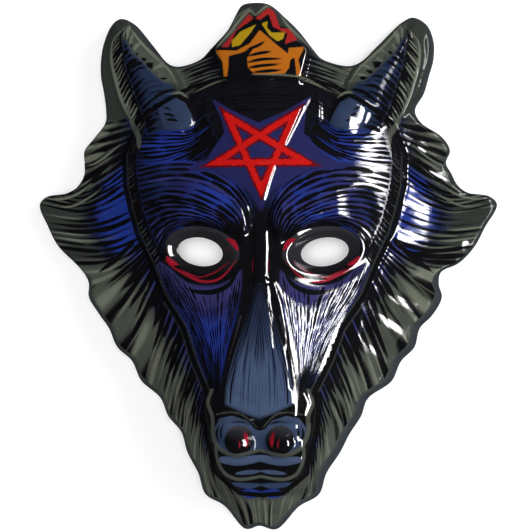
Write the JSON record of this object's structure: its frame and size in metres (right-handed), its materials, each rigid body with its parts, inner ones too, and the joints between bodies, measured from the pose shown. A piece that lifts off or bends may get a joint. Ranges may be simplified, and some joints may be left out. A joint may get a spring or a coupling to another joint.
{
  "type": "goat mask",
  "caption": "Thin formed plastic mask of a horned goat face with ears, a torch on the crown, a beard of fur tufts and open eye holes, lying face up.",
  "frame": {"origin": "on the surface the mask lies on, under the middle of its bounding box", "axes": "+X across the face towards the right of the picture, +Y from the chin to the horns, +Z out of the face"},
  "size_m": [0.26, 0.2958, 0.0752],
  "materials": {
    "printed_plastic": "glossy, printed in dark blue, black and grey-green, with a red star and an orange torch"
  },
  "bodies": {
    "root": {"mask_shell": "printed_plastic"}
  },
  "joints": []
}
